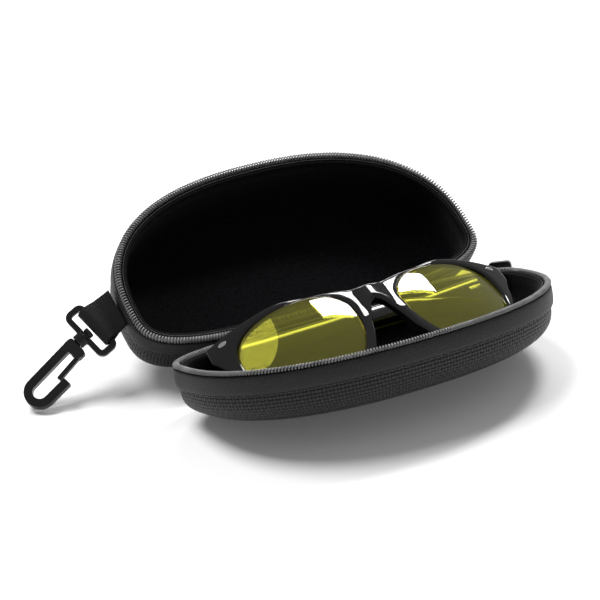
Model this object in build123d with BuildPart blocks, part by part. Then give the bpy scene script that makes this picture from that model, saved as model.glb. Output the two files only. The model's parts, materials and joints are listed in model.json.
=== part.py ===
from build123d import *
import math
import os

# Sunglasses with tinted lenses in their zipped clip-on hard case, millimetres, +Z up.
# The case stands open as a V on a table: tray in front (-Y), lid behind (+Y), glasses
# folded in the tray. The origin is on the table, at the foot that the tray stands on.

# ---- case: driving sizes -------------------------------------------------------------
CASE_HALF_LENGTH = 82.0       # half the length of the rim, along X
RIM_FRONT = 53.0              # rim width from its widest line to the opening side
RIM_BACK = 24.0               # rim width from its widest line to the hinge side
FRONT_ROUNDNESS = 2.35        # superellipse exponent of the opening side
BACK_ROUNDNESS = 3.6          # superellipse exponent of the hinge side, nearly straight
TRAY_DEPTH = 26.0
LID_DEPTH = 31.8
TRAY_TILT = 16.5              # front edge of the tray is up by this many degrees
WALL = 2.8                    # moulded foam board with its woven face
LINING = 0.8                  # velvet
BAND_HEIGHT = 10.0            # smooth band below the rim, down to the stitch line
BAND_THICK = 1.2
FOOT_FLAT = 0.35              # how much each dome is pressed flat where it stands
DOME_EXPONENT = 3.1
DOME_CROWN = 0.35             # the flat crown's share of the rim outline
DOME_STEPS = (1.0, 0.95, 0.85, 0.7, 0.5, 0.25, 0.0)

# ---- zip -----------------------------------------------------------------------------
COIL_HEIGHT = 1.35
COIL_WIDTH = 2.6
COIL_INSET = 0.8
MATING_GAP = 0.15             # half the clearance between the two coils when shut
TAPE_THICK = 0.5
TAPE_INSET = 0.2
TAPE_WIDTH = 4.2
ZIP_END = 38.0                # the zip stops this far each side of the hinge's middle
STOP_LENGTH = 3.0
STOP_GAP = 0.05
STOP_SHIFT = 0.45             # the rim has left the hinge line by this much at the stops
STOP_SPREAD = 1.0             # a stop is this much wider than the coil
SLIDER = (10.0, 5.4, 3.0)     # along the track, across both coils, out from the band
SLIDER_CORNER = 2.0
SLIDER_GAP = 0.4
SLIDER_TURN = -25.0           # where the slider is parked on the rim, degrees from +X
PULL = (20.0, 5.0, 1.4)       # length, width, thickness
SLIDER_DROP = 0.8             # the slider's middle is this far below the coils' meeting line
PULL_OUT = 2.2                # the pull's pin stands this far out from the slider's face
PULL_PIN_RADIUS = 0.7
PULL_CHEEK = 1.1              # each of the bridge's two cheeks
PULL_SIDE = 0.2               # between the pull and a cheek
PULL_EYE_WALL = 1.0           # round the pull's pin
CHEEK_WALL = 0.4

# ---- hinge strip ---------------------------------------------------------------------
STRIP_HALF = 35.0
STRIP_DROP = 8.0
STRIP_THICK = 0.8
STRIP_GAP = 0.3               # between the strip and the bands

# ---- strap, ring and snap hook -------------------------------------------------------
STRAP_WIDTH = 17.0
STRAP_THICK = 1.2
STRAP_V = 30.0                # place of the strap's middle along the lid's left end
STRAP_DEPTH = 6.2             # below the lid's rim
ROD = 2.4                     # diameter of the ring's rod
RING_LENGTH = 23.8
RING_WIDTH = 9.4
RING_CORNER = 3.2
LOOP_GAP = 0.3                # between the ring's rod and the webbing round it
COLLAR_RADIUS = 3.0
COLLAR_TOP = 7.2              # from the ring's middle, along the hook
PIVOT_RADIUS = 1.5
PIVOT_GAP = 0.08
PIVOT_HEAD = 0.7              # the pivot's head is this much larger in radius
PIVOT_HEAD_GAP = 0.15
HOOK_THICK = 4.0
HOOK_DIP = 30.3               # the hook slopes down to the table by this many degrees
HOOK_REST = 0.2               # and lies this far above it
RING_TWIST = 0.28             # how far the ring turns out of line with the strap
STRAP_ROOT_GAP = 0.3          # between the strap's root and the band
HOOK_LENGTH = 38.0            # from the ring's middle to the end of the bow
HOOK_BOW = 6.6                # outer radius of the bow
STOCK = 3.6                   # width of the hook's stock
HOOK_TOP = 7.5                # the hook's shoulder, just clear of the collar
SPINE_TOP_X = -1.2            # the spine starts off the swivel's axis
PIVOT_START = 0.4
SPINE_START = 3.0             # from the hook's shoulder
SHOULDER = (9.0, 4.8)
SHOULDER_CORNER = 1.5
SHOULDER_MIDDLE = (1.4, 2.4)  # across the hook, and below its top
NOSE_LEAN = 0.7               # the nose comes in by this much towards the gate
NOSE_OVERLAP = 2.0            # and reaches this far past the gate's tip
GATE_ROOT_X = 4.6
GATE_ROOT_DROP = 2.0          # the gate's pin below the hook's top
GATE_END = 22.6               # the gate's tip, along the hook
GATE_SEAT = 0.3               # between the gate and the nose it closes on
GATE_EYE = 1.5
GATE_PIN = 0.7
GATE_SIDE = 0.25
GATE_THICK = 2.4
GATE_WIDTH = 1.9
FORK_GAP = 0.4                # round the gate's eye
PRESS_ROOM = (2.0, 8.0)       # room behind the gate's root for its travel

# ---- glasses -------------------------------------------------------------------------
FRONT_PLACE = (-40.5, 17.1)   # middle of the front from the hinge line, along Y and Z
FRONT_LEAN = 66.4             # the front is laid back by this many degrees
WRAP_RADIUS = 155.0           # face form of the front
FRAME_THICK = 4.0
LENS_THICK = 2.0
LENS_SET = 1.1                # from the frame's face to the lens's face
LENS_BITE = 0.6               # how far the lens goes into its groove
GROOVE_GAP = 0.05
TEMPLE_THICK = 3.2
TEMPLE_STRAIGHT = 88.0
TEMPLE_EAR = 36.0
TEMPLE_DROP = 22.0            # degrees that the ear part turns down
TEMPLE_BUTT = 12.0
TEMPLE_WAIST = 8.0
TEMPLE_TIP = 9.0
HINGE_X = 64.2                # the temple hinges' pins, from the glasses' middle
HINGE_BEHIND = 21.2           # and behind the face of the bridge
HINGE_Y = 13.6                # and above the middle of the front
PIN_RADIUS = 0.7
PIN_GAP = 0.05
KNUCKLE_RADIUS = 1.6
KNUCKLE = 2.0                 # height of each of the three knuckles
KNUCKLE_GAP = 0.1
FOLD_LEFT = 1.7               # folded left temple leans towards the lenses
FOLD_RIGHT = -1.8             # folded right temple leans away, over the left one
RIVET_RADIUS = 1.7
RIVET_OVAL = 0.7              # height over width
RIVET_DEPTH = 1.5
RIVET_PROUD = 0.2
RIVET_BACK = 9.0
RIVET_PLACE = (66.4, 15.9)    # along the wrapped face and above its middle
TEMPLE_GAP = 0.6              # between the hinge's axis and the temple's inner face
BUTT_LENGTH = 0.8             # the temple runs this far past its hinge's axis
HINGE_BARREL = 3 * KNUCKLE + 2 * KNUCKLE_GAP
HINGE_SUNK = 1.2              # how deep a hinge is sunk into the frame
HINGE_LEAF = 8.0
HINGE_LEAF_SHIFT = 2.4        # the leaf's middle, towards the lens from the pin
SCREW_HEAD = (1.3, 0.7)       # radius and height
SCREW_NECK = 0.3
TEMPLE_LEAF = (9.0, 1.4)
TEMPLE_LEAF_BEHIND = 1.1      # the leaf's middle, behind the pin
TEMPLE_SWELL = 0.8            # the arm is this much fuller than its waist a third of the way
TEMPLE_LOW_START = 4.0        # the lower edge turns down this much sooner
POCKET_GAP = 0.3              # round the barrel, in the temple

os.makedirs("parts", exist_ok=True)


def write(name, label):
    name.part.label = label
    export_step(name.part, "parts/" + label + ".step")


# ---- case outline and dome -----------------------------------------------------------
def rim_point(turn, inset, scale=1.0):
    """A point of the rim outline moved in by inset; y = 0 is the hinge line."""
    front = math.sin(turn) > 0
    power = 2.0 / (FRONT_ROUNDNESS if front else BACK_ROUNDNESS)
    half = CASE_HALF_LENGTH - inset
    width = (RIM_FRONT if front else RIM_BACK) - inset
    x = half * math.copysign(abs(math.cos(turn)) ** power, math.cos(turn))
    y = width * math.copysign(abs(math.sin(turn)) ** power, math.sin(turn))
    return (x * scale, RIM_BACK + y * scale)


def rim_points(inset, scale=1.0, count=40):
    return [rim_point((i + 0.5) * 2 * math.pi / count, inset, scale) for i in range(count)]


def dome_levels(depth):
    """Depth and scale of each section from the band down to the crown."""
    for step in DOME_STEPS:
        fall = (1 - step**DOME_EXPONENT) ** (1 / DOME_EXPONENT)
        yield BAND_HEIGHT + (depth - BAND_HEIGHT) * fall, DOME_CROWN + (1 - DOME_CROWN) * step


def tray_place(v, depth):
    """Y and Z of a tray point from the hinge line: v along the rim, depth below it."""
    up = math.radians(TRAY_TILT)
    return (-(v * math.cos(up) + depth * math.sin(up)), v * math.sin(up) - depth * math.cos(up))


def lid_place(v, depth, opening):
    up = math.radians(TRAY_TILT + opening)
    return (-(v * math.cos(up) - depth * math.sin(up)), v * math.sin(up) + depth * math.cos(up))


def lowest(depth, place):
    """Height and Y of the dome's lowest point, from the hinge line."""
    points = [
        place(v, level)
        for level, scale in dome_levels(depth)
        for _, v in rim_points(BAND_THICK, scale, 120)
    ]
    return min((z, y) for y, z in points)


# Both domes stand on the table, which sets the hinge's height and the opening angle.
foot_z, foot_y = lowest(TRAY_DEPTH, tray_place)
HINGE_HEIGHT = -foot_z - FOOT_FLAT
HINGE_BACK = -foot_y
low, high = 90.0, 160.0
for _ in range(40):
    OPENING = (low + high) / 2
    if lowest(LID_DEPTH, lambda v, d: lid_place(v, d, OPENING))[0] < foot_z:
        high = OPENING
    else:
        low = OPENING

hinge_line = (0, HINGE_BACK, HINGE_HEIGHT)
tray_turn = math.radians(TRAY_TILT)
lid_turn = math.radians(TRAY_TILT + OPENING)
TRAY = Plane(origin=hinge_line, x_dir=(1, 0, 0), z_dir=(0, math.sin(tray_turn), math.cos(tray_turn)))
LID = Plane(origin=hinge_line, x_dir=(1, 0, 0), z_dir=(0, -math.sin(lid_turn), -math.cos(lid_turn)))
TRAY_SIDE = -1                # the tray's rim runs along its plane's -Y, the lid's along +Y
LID_SIDE = 1
RIM_TOP = MATING_GAP + COIL_HEIGHT + TAPE_THICK


def rim_face(plane, side, depth, inset, scale=1.0):
    with BuildSketch(plane.offset(-depth)) as face:
        with BuildLine():
            Spline(*[(x, side * y) for x, y in rim_points(inset, scale)], periodic=True)
        make_face()
    return face.sketch


def bowl(plane, side, depth, inset, top, mode=Mode.ADD):
    """A solid bowl: straight wall from top to the band's edge, then the dome."""
    extrude(rim_face(plane, side, BAND_HEIGHT, inset), amount=BAND_HEIGHT - top, dir=plane.z_dir, mode=mode)
    sections = [
        rim_face(plane, side, level, inset, scale) for level, scale in dome_levels(depth - inset + BAND_THICK)
    ]
    loft(sections, mode=mode)


def rim_ring(plane, side, top, bottom, inset, width):
    """A flat-sided ring that follows the rim."""
    extrude(rim_face(plane, side, bottom, inset), amount=bottom - top, dir=plane.z_dir)
    extrude(
        rim_face(plane, side, bottom, inset + width),
        amount=bottom - top,
        dir=plane.z_dir,
        mode=Mode.SUBTRACT,
    )


def zip_gap(plane, side):
    """Takes the zip away along the hinge."""
    with BuildSketch(plane) as gap:
        with Locations((0, side * RIM_BACK / 4)):
            Rectangle(2 * ZIP_END, RIM_BACK)
    extrude(gap.sketch, amount=RIM_TOP + 1, both=True, mode=Mode.SUBTRACT)


def stop_block(plane, side, end, gap, mode):
    """The clamp on a zip end, or the room for it."""
    middle = (end * (ZIP_END + STOP_LENGTH / 2), side * (COIL_INSET + COIL_WIDTH / 2 + STOP_SHIFT))
    with BuildSketch(plane.offset(-MATING_GAP)) as block:
        with Locations(middle):
            Rectangle(STOP_LENGTH - 2 * gap, COIL_WIDTH + STOP_SPREAD - 2 * gap)
    extrude(block.sketch, amount=-(COIL_HEIGHT - gap), mode=mode)


def press_foot():
    """Flattens a dome where it stands on the table."""
    with BuildSketch(Plane.XY) as table:
        Rectangle(4 * CASE_HALF_LENGTH, 8 * RIM_FRONT)
    extrude(table.sketch, amount=-TRAY_DEPTH, mode=Mode.SUBTRACT)


for half, plane, side, depth in (("tray", TRAY, TRAY_SIDE, TRAY_DEPTH), ("lid", LID, LID_SIDE, LID_DEPTH)):
    with BuildPart() as shell:
        bowl(plane, side, depth, BAND_THICK, RIM_TOP)
        bowl(plane, side, depth, BAND_THICK + WALL, RIM_TOP - 1, Mode.SUBTRACT)
        press_foot()
    write(shell, half + "_shell")

    with BuildPart() as lining:
        bowl(plane, side, depth, BAND_THICK + WALL, RIM_TOP)
        bowl(plane, side, depth, BAND_THICK + WALL + LINING, RIM_TOP - 1, Mode.SUBTRACT)
    write(lining, half + "_lining")

    with BuildPart() as band:
        rim_ring(plane, side, RIM_TOP, BAND_HEIGHT, 0, BAND_THICK)
    write(band, half + "_band")

    with BuildPart() as zip_tape:
        rim_ring(plane, side, RIM_TOP - TAPE_THICK, RIM_TOP, TAPE_INSET, TAPE_WIDTH)
        zip_gap(plane, side)
    write(zip_tape, half + "_zip_tape")

    with BuildPart() as zip_coil:
        rim_ring(plane, side, MATING_GAP, RIM_TOP - TAPE_THICK, COIL_INSET, COIL_WIDTH)
        zip_gap(plane, side)
        for end in (-1, 1):
            stop_block(plane, side, end, 0.0, Mode.SUBTRACT)
    write(zip_coil, half + "_zip_coil")

    with BuildPart() as zip_stops:
        for end in (-1, 1):
            stop_block(plane, side, end, STOP_GAP, Mode.ADD)
    write(zip_stops, half + "_zip_stops")

# ---- hinge strip: a fabric spine on the outside of both bands -------------------------
with BuildPart() as hinge_strip:
    for plane, side in ((TRAY, TRAY_SIDE), (LID, LID_SIDE)):
        with BuildSketch(plane):
            with Locations((0, -side * (STRIP_GAP + STRIP_THICK / 2))):
                Rectangle(2 * STRIP_HALF, STRIP_THICK)
        extrude(amount=-STRIP_DROP)
    with BuildSketch(Plane(origin=(-STRIP_HALF, HINGE_BACK, HINGE_HEIGHT), x_dir=(0, 1, 0), z_dir=(1, 0, 0))):
        Circle(STRIP_GAP + STRIP_THICK)
    extrude(amount=2 * STRIP_HALF)
write(hinge_strip, "hinge_strip")

# ---- zip slider and pull, parked at the back right corner of the tray -----------------
parked = math.radians(SLIDER_TURN)
corner = rim_point(parked, 0)
after = rim_point(parked + 0.05, 0)
before = rim_point(parked - 0.05, 0)
track = Vector(after[0] - before[0], before[1] - after[1], 0).normalized()
ALONG = TRAY.x_dir * track.X + TRAY.y_dir * track.Y
OUTWARD = TRAY.z_dir.cross(ALONG)
CORNER = TRAY.from_local_coords(Vector(corner[0], -corner[1], -SLIDER_DROP))
SLIDER_PLANE = Plane(origin=CORNER + OUTWARD * SLIDER_GAP, x_dir=ALONG, z_dir=OUTWARD)
PULL_PIN = SLIDER_PLANE.origin + OUTWARD * (SLIDER[2] + PULL_OUT)
PIN_PLANE = Plane(origin=PULL_PIN, x_dir=OUTWARD, z_dir=ALONG)

with BuildPart() as zip_slider:
    with BuildSketch(SLIDER_PLANE):
        RectangleRounded(SLIDER[0], SLIDER[1], SLIDER_CORNER)
    extrude(amount=SLIDER[2])
    with BuildSketch(PIN_PLANE):
        Circle(PULL_PIN_RADIUS)
    extrude(amount=PULL[1] / 2 + PULL_SIDE + PULL_CHEEK, both=True)
    for end in (-1, 1):
        with BuildSketch(PIN_PLANE.offset(end * (PULL[1] / 2 + PULL_CHEEK / 2 + PULL_SIDE) - PULL_CHEEK / 2)):
            with Locations((-PULL_OUT / 2, 0)):
                Rectangle(PULL_OUT + 2 * PULL_PIN_RADIUS, 2 * (PULL_PIN_RADIUS + CHEEK_WALL))
        extrude(amount=PULL_CHEEK)
write(zip_slider, "zip_slider")

hang = (Vector(0, 0, -1) + ALONG * ALONG.Z).normalized()
with BuildPart() as zip_pull:
    with BuildSketch(Plane(origin=PULL_PIN, x_dir=ALONG.cross(hang), z_dir=ALONG)):
        Circle(PULL_PIN_RADIUS + PULL_EYE_WALL)
        with Locations((0, -PULL[0] / 2)):
            Rectangle(PULL[2], PULL[0])
        Circle(PULL_PIN_RADIUS + PIN_GAP, mode=Mode.SUBTRACT)
    extrude(amount=PULL[1] / 2, both=True)
write(zip_pull, "zip_pull")

# ---- strap, ring and hook --------------------------------------------------------------
# The ring and the hook lie in one plane: ALONG_RING runs along the strap's fold, and
# ALONG_HOOK runs from the ring down to the table.
lid_run = LID.y_dir
ALONG_HOOK = Vector(-math.cos(math.radians(HOOK_DIP)), 0, -math.sin(math.radians(HOOK_DIP)))
strap_line = (lid_run * -1 + Vector(RING_TWIST, 0, 0)).normalized()
ALONG_RING = (strap_line - ALONG_HOOK * strap_line.dot(ALONG_HOOK)).normalized()
RING_NORMAL = ALONG_RING.cross(ALONG_HOOK)
BOW_X = HOOK_BOW - STRAP_THICK
BOW_Y = HOOK_LENGTH - HOOK_BOW
bow_drop = HOOK_BOW * math.hypot(ALONG_RING.Z, ALONG_HOOK.Z) + HOOK_THICK / 2 * abs(RING_NORMAL.Z)
ring_height = HOOK_REST - BOW_X * ALONG_RING.Z - BOW_Y * ALONG_HOOK.Z + bow_drop
STRAP_ROOT = LID.from_local_coords(Vector(-CASE_HALF_LENGTH - STRAP_ROOT_GAP, STRAP_V, -STRAP_DEPTH))
strap_reach = (STRAP_ROOT.Z - ring_height) / -ALONG_HOOK.Z
RING_MIDDLE = STRAP_ROOT + ALONG_HOOK * strap_reach
RING = Plane(origin=RING_MIDDLE, x_dir=ALONG_RING, z_dir=RING_NORMAL)
ROD_Y = (RING_WIDTH - ROD) / 2

with BuildPart() as swivel_ring:
    with BuildSketch(RING):
        RectangleRounded(RING_LENGTH, RING_WIDTH, RING_CORNER)
        RectangleRounded(RING_LENGTH - 2 * ROD, RING_WIDTH - 2 * ROD, RING_CORNER - ROD, mode=Mode.SUBTRACT)
    extrude(amount=ROD / 2, both=True)
    with BuildSketch(Plane(origin=RING_MIDDLE, x_dir=ALONG_RING, z_dir=ALONG_HOOK).offset(ROD_Y)):
        Circle(COLLAR_RADIUS)
    extrude(amount=COLLAR_TOP - ROD_Y)
    with BuildSketch(Plane(origin=RING_MIDDLE, x_dir=ALONG_RING, z_dir=ALONG_HOOK)):
        Circle(PIVOT_RADIUS + PIVOT_GAP)
    extrude(amount=COLLAR_TOP + 1, mode=Mode.SUBTRACT)
write(swivel_ring, "swivel_ring")

FOLD_MIDDLE = RING_MIDDLE - ALONG_HOOK * ROD_Y
FOLD = Plane(origin=FOLD_MIDDLE, x_dir=ALONG_HOOK * -1, z_dir=ALONG_RING)
fold_inner = ROD / 2 * math.sqrt(2) + LOOP_GAP
fold_outer = fold_inner + STRAP_THICK
with BuildPart() as strap_loop:
    # Two layers of webbing, from the band out to the fold round the ring.
    root = Plane(origin=STRAP_ROOT, x_dir=lid_run, z_dir=(-1, 0, 0))
    tip = Plane(origin=FOLD_MIDDLE - ALONG_HOOK * (fold_inner + LOOP_GAP), x_dir=ALONG_RING * -1, z_dir=ALONG_HOOK)
    with BuildSketch(root):
        Rectangle(STRAP_WIDTH, 2 * STRAP_THICK)
    with BuildSketch(tip):
        Rectangle(STRAP_WIDTH, 2 * STRAP_THICK)
    loft()
    with BuildSketch(FOLD):
        Circle(fold_outer)
    extrude(amount=STRAP_WIDTH / 2, both=True)
    with BuildSketch(FOLD):
        Circle(fold_inner)
    extrude(amount=STRAP_WIDTH, both=True, mode=Mode.SUBTRACT)
write(strap_loop, "strap_loop")

NOSE_X = BOW_X + HOOK_BOW - STOCK / 2
SPINE_X = BOW_X - HOOK_BOW + STOCK / 2
GATE_ROOT = (GATE_ROOT_X, HOOK_TOP + GATE_ROOT_DROP)
GATE_TIP = (NOSE_X - STOCK / 2 - GATE_SEAT - GATE_WIDTH / 2 - NOSE_LEAN, GATE_END)
with BuildPart() as hook_body:
    with BuildSketch(RING):
        with BuildLine():
            Line((SPINE_TOP_X, HOOK_TOP + SPINE_START), (SPINE_X, BOW_Y))
            ThreePointArc((SPINE_X, BOW_Y), (BOW_X, HOOK_LENGTH - STOCK / 2), (NOSE_X, BOW_Y))
            Line((NOSE_X, BOW_Y), (NOSE_X - NOSE_LEAN, GATE_END - NOSE_OVERLAP))
        trace(line_width=STOCK)
        with Locations((SHOULDER_MIDDLE[0], HOOK_TOP + SHOULDER_MIDDLE[1])):
            RectangleRounded(*SHOULDER, SHOULDER_CORNER)
    extrude(amount=HOOK_THICK / 2, both=True)
    with BuildSketch(Plane(origin=RING_MIDDLE, x_dir=ALONG_RING, z_dir=ALONG_HOOK).offset(PIVOT_START)):
        Circle(PIVOT_RADIUS)
    extrude(amount=HOOK_TOP + 1 - PIVOT_START)
    with BuildSketch(Plane(origin=RING_MIDDLE, x_dir=ALONG_RING, z_dir=ALONG_HOOK).offset(PIVOT_START)):
        Circle(PIVOT_RADIUS + PIVOT_HEAD)
    extrude(amount=ROD_Y - ROD / 2 - PIVOT_START - PIVOT_HEAD_GAP)
    # The fork that holds the gate, and its pin.
    with BuildSketch(RING):
        with Locations(GATE_ROOT):
            Circle(GATE_EYE + FORK_GAP)
        with BuildLine():
            Line(GATE_ROOT, GATE_TIP)
        trace(line_width=2 * (GATE_EYE + FORK_GAP))
        with BuildLine():
            Line(GATE_ROOT, (GATE_ROOT[0] - PRESS_ROOM[0], GATE_ROOT[1] + PRESS_ROOM[1]))
        trace(line_width=2 * GATE_EYE)
    extrude(amount=GATE_THICK / 2 + GATE_SIDE, both=True, mode=Mode.SUBTRACT)
    with BuildSketch(RING):
        with Locations(GATE_ROOT):
            Circle(GATE_PIN)
    extrude(amount=HOOK_THICK / 2, both=True)
write(hook_body, "hook_body")

with BuildPart() as hook_gate:
    with BuildSketch(RING):
        with BuildLine():
            Line(GATE_ROOT, GATE_TIP)
        trace(line_width=GATE_WIDTH)
        with Locations(GATE_ROOT):
            Circle(GATE_EYE)
        with Locations(GATE_ROOT):
            Circle(GATE_PIN + PIN_GAP, mode=Mode.SUBTRACT)
    extrude(amount=GATE_THICK / 2, both=True)
write(hook_gate, "hook_gate")

# ---- glasses ---------------------------------------------------------------------------
back = math.radians(FRONT_LEAN)
FRONT = Plane(
    origin=(0, HINGE_BACK + FRONT_PLACE[0], HINGE_HEIGHT + FRONT_PLACE[1]),
    x_dir=(1, 0, 0),
    z_dir=(0, -math.cos(back), math.sin(back)),
)
ROLL = Plane(origin=FRONT.origin, x_dir=FRONT.x_dir, z_dir=FRONT.y_dir)


def wrapped(points, side=1):
    """Points along the wrapped face, as seen from straight ahead."""
    return [(side * WRAP_RADIUS * math.sin(x / WRAP_RADIUS), y) for x, y in points]


def face_behind(x, behind=0.0):
    """How far the wrapped face, or a surface behind it, lies behind the bridge."""
    return WRAP_RADIUS - math.sqrt((WRAP_RADIUS - behind) ** 2 - x * x)


BROW = [(0, 15.9), (8, 16.4), (20.3, 19.0), (37.5, 21.9), (54.9, 21.5), (72.0, 19.6)]
LOWER_RIM = [(72.8, 12.6), (69.4, 6.0), (67.6, -4.0), (59.5, -15.5), (45.0, -23.2), (30.0, -25.4)]
NOSE = [(30.0, -25.4), (17.2, -21.0), (10.2, -11.0), (6.4, -1.5), (0, 7.4)]
APERTURE = [
    (11.0, 1.5), (12.0, 10.4), (19.6, 16.6), (34.5, 18.7), (51.4, 17.9), (60.4, 13.4),
    (62.9, 6.0), (60.8, -4.0), (53.8, -13.2), (42.0, -19.2), (30.0, -20.6), (20.0, -16.6), (13.6, -8.0),
]


def grown(points, grow):
    """A closed outline moved outwards, each point square to its neighbours' line."""
    result = []
    for i, (x, y) in enumerate(points):
        before = points[i - 1]
        after = points[(i + 1) % len(points)]
        run = math.hypot(after[0] - before[0], after[1] - before[1])
        result.append((x - grow * (after[1] - before[1]) / run, y + grow * (after[0] - before[0]) / run))
    return result


def slab(near, far):
    """Keeps what lies between two depths behind the wrapped face."""
    reach = 2 * BROW[3][1]
    with BuildSketch(ROLL.offset(-reach)) as ring:
        with Locations((0, WRAP_RADIUS)):
            Circle(WRAP_RADIUS - near)
            Circle(WRAP_RADIUS - far, mode=Mode.SUBTRACT)
    extrude(ring.sketch, amount=2 * reach, mode=Mode.INTERSECT)


def lens_face(side, grow):
    with BuildSketch(FRONT.offset(1)) as face:
        with BuildLine():
            Spline(*wrapped(grown(APERTURE, grow), side), periodic=True)
        make_face()
    return face.sketch


for side, hand in ((-1, "left"), (1, "right")):
    with BuildPart() as lens:
        extrude(lens_face(side, LENS_BITE), amount=-2 * HINGE_BEHIND)
        slab(LENS_SET, LENS_SET + LENS_THICK)
    write(lens, "lens_" + hand)

with BuildPart() as front_frame:
    with BuildSketch(FRONT.offset(1)):
        with BuildLine():
            Spline(*wrapped(BROW), tangents=[(1, 0), (1, -0.15)])
            Line(wrapped(BROW)[-1], wrapped(LOWER_RIM)[0])
            Spline(*wrapped(LOWER_RIM))
            Spline(*wrapped(NOSE), tangents=[(-1, 0), (-1, 0.3)])
            mirror(about=Plane.YZ)
        make_face()
    extrude(amount=-2 * HINGE_BEHIND)
    for side in (-1, 1):
        extrude(lens_face(side, 0), amount=-2 * HINGE_BEHIND, mode=Mode.SUBTRACT)
    slab(0, FRAME_THICK)
    for side in (-1, 1):
        with BuildPart(mode=Mode.PRIVATE) as groove:
            extrude(lens_face(side, LENS_BITE + GROOVE_GAP), amount=-2 * HINGE_BEHIND)
            slab(LENS_SET - GROOVE_GAP, LENS_SET + LENS_THICK + GROOVE_GAP)
        add(groove.part, mode=Mode.SUBTRACT)
write(front_frame, "front_frame")

# ---- hinges and temples ----------------------------------------------------------------
for side, hand, fold_lean in ((-1, "left", FOLD_LEFT), (1, "right", FOLD_RIGHT)):
    pin = FRONT.from_local_coords(Vector(side * HINGE_X, HINGE_Y, -HINGE_BEHIND))
    in_and_out = FRONT.x_dir * -side
    swing = math.radians(fold_lean)
    reach_dir = in_and_out * math.cos(swing) + FRONT.z_dir * math.sin(swing)
    rear_dir = in_and_out * math.sin(swing) - FRONT.z_dir * math.cos(swing)
    ARM = Plane(origin=pin, x_dir=reach_dir, z_dir=rear_dir)
    up = side
    BARREL = Plane(origin=pin, x_dir=FRONT.x_dir, z_dir=FRONT.y_dir)
    BARREL_ARM = Plane(origin=pin, x_dir=reach_dir, z_dir=ARM.y_dir)

    with BuildPart() as front_hinge:
        frame_back = HINGE_BEHIND - face_behind(HINGE_X, FRAME_THICK)
        with BuildSketch(BARREL.offset(-HINGE_BARREL / 2)):
            Circle(KNUCKLE_RADIUS)
            with Locations((0, -(frame_back + HINGE_SUNK) / 2)):
                Rectangle(2 * KNUCKLE_RADIUS, frame_back + HINGE_SUNK)
            with Locations((-side * HINGE_LEAF_SHIFT, -(frame_back + HINGE_SUNK / 2))):
                Rectangle(HINGE_LEAF, HINGE_SUNK)
        extrude(amount=HINGE_BARREL)
        with BuildSketch(BARREL.offset(-KNUCKLE / 2 - KNUCKLE_GAP)):
            with Locations((0, KNUCKLE_RADIUS)):
                Rectangle(8 * KNUCKLE_RADIUS, 4 * KNUCKLE_RADIUS + KNUCKLE_GAP)
        extrude(amount=KNUCKLE + 2 * KNUCKLE_GAP, mode=Mode.SUBTRACT)
        with BuildSketch(BARREL):
            Circle(PIN_RADIUS + PIN_GAP)
        extrude(amount=HINGE_BARREL, both=True, mode=Mode.SUBTRACT)
    write(front_hinge, "front_hinge_" + hand)

    with BuildPart() as hinge_screw:
        with BuildSketch(BARREL.offset(-HINGE_BARREL / 2)):
            Circle(PIN_RADIUS)
        extrude(amount=HINGE_BARREL)
        with BuildSketch(BARREL.offset(HINGE_BARREL / 2 + PIN_GAP)):
            Circle(SCREW_HEAD[0])
        extrude(amount=SCREW_HEAD[1])
        with BuildSketch(BARREL.offset(HINGE_BARREL / 2)):
            Circle(PIN_RADIUS)
        extrude(amount=SCREW_NECK)
    write(hinge_screw, "hinge_screw_" + hand)

    with BuildPart() as temple_hinge:
        with BuildSketch(BARREL_ARM.offset(-KNUCKLE / 2)):
            Circle(KNUCKLE_RADIUS)
            with Locations((TEMPLE_LEAF[0] / 2, -TEMPLE_LEAF_BEHIND)):
                Rectangle(*TEMPLE_LEAF)
            Circle(PIN_RADIUS + PIN_GAP, mode=Mode.SUBTRACT)
        extrude(amount=KNUCKLE)
    write(temple_hinge, "temple_hinge_" + hand)

    drop = math.radians(TEMPLE_DROP)
    tip_x = TEMPLE_STRAIGHT + TEMPLE_EAR * math.cos(drop)
    tip_y = -TEMPLE_EAR * math.sin(drop)
    with BuildPart() as temple:
        with BuildSketch(ARM.offset(TEMPLE_GAP)):
            with BuildLine():
                top = Spline(
                    (-BUTT_LENGTH, up * TEMPLE_BUTT / 2),
                    (TEMPLE_STRAIGHT / 3, up * (TEMPLE_WAIST / 2 + TEMPLE_SWELL)),
                    (TEMPLE_STRAIGHT, up * TEMPLE_WAIST / 2),
                    (tip_x + TEMPLE_TIP / 2 * math.sin(drop), up * (tip_y + TEMPLE_TIP / 2 * math.cos(drop))),
                )
                low_edge = Spline(
                    (-BUTT_LENGTH, -up * TEMPLE_BUTT / 2),
                    (TEMPLE_STRAIGHT / 3, -up * (TEMPLE_WAIST / 2 + TEMPLE_SWELL)),
                    (TEMPLE_STRAIGHT - TEMPLE_LOW_START, -up * TEMPLE_WAIST / 2),
                    (tip_x - TEMPLE_TIP / 2 * math.sin(drop), up * (tip_y - TEMPLE_TIP / 2 * math.cos(drop))),
                )
                ThreePointArc(
                    top @ 1,
                    (tip_x + TEMPLE_TIP / 2 * math.cos(drop), up * (tip_y - TEMPLE_TIP / 2 * math.sin(drop))),
                    low_edge @ 1,
                )
                Line(top @ 0, low_edge @ 0)
            make_face()
        extrude(amount=TEMPLE_THICK)
        with BuildSketch(BARREL.offset(-HINGE_BARREL / 2 - POCKET_GAP)):
            Circle(KNUCKLE_RADIUS + POCKET_GAP)
        extrude(amount=HINGE_BARREL + SCREW_HEAD[1] + 3 * POCKET_GAP, mode=Mode.SUBTRACT)
    write(temple, "temple_" + hand)

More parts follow.
